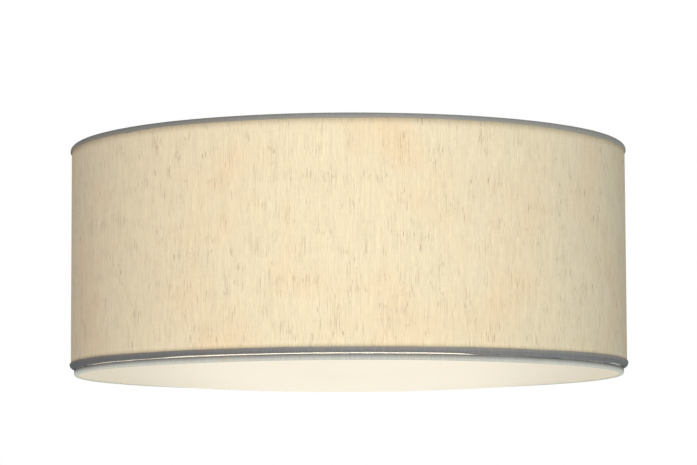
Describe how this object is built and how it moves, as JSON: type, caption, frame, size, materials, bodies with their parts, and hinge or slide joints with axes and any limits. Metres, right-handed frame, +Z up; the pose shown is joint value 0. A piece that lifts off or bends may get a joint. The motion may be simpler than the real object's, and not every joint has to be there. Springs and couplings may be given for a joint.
{
  "type": "lamp shade",
  "caption": "Cylindrical fabric drum lamp shade with rolled hems, a wire spider fitter and a clip-in opal diffuser under the lower hem.",
  "frame": {"origin": "lowest point of the diffuser, at the middle of its sagging sheet", "axes": "+Z up along the drum's axis, -Y towards the front"},
  "size_m": [0.5022, 0.5022, 0.2163],
  "materials": {
    "cover_fabric": "matt slub weave",
    "hem_fabric": "matt slub weave, rolled",
    "liner_film": "satin translucent film",
    "coated_wire": "white powder coat",
    "reducer_plastic": "moulded satin",
    "opal_sheet": "opal satin",
    "rim_cloth": "matt wrapped cloth",
    "spring_steel": "plain spring steel"
  },
  "bodies": {
    "shade": {"cover_fabric": "cover_fabric", "lap_strip": "cover_fabric", "top_rolled_hem": "hem_fabric", "bottom_rolled_hem": "hem_fabric", "liner_film": "liner_film", "top_ring_wire": "coated_wire", "bottom_ring_wire": "coated_wire", "spider_arm_1": "coated_wire", "spider_arm_2": "coated_wire", "spider_arm_3": "coated_wire", "fitter_washer": "coated_wire"},
    "diffuser": {"diffuser_panel": "opal_sheet", "diffuser_rim": "rim_cloth", "diffuser_ring_wire": "coated_wire", "spring_tab_1": "spring_steel", "spring_tab_2": "spring_steel", "spring_tab_3": "spring_steel"},
    "reducer": {"reducer_ring": "reducer_plastic"}
  },
  "joints": [
    {"name": "diffuser_drop", "type": "slide", "parent": "shade", "child": "diffuser", "axis": [0, 0, -1], "range_m": [0, 0.06]},
    {"name": "reducer_lift", "type": "slide", "parent": "shade", "child": "reducer", "axis": [0, 0, 1], "range_m": [0, 0.03]}
  ]
}
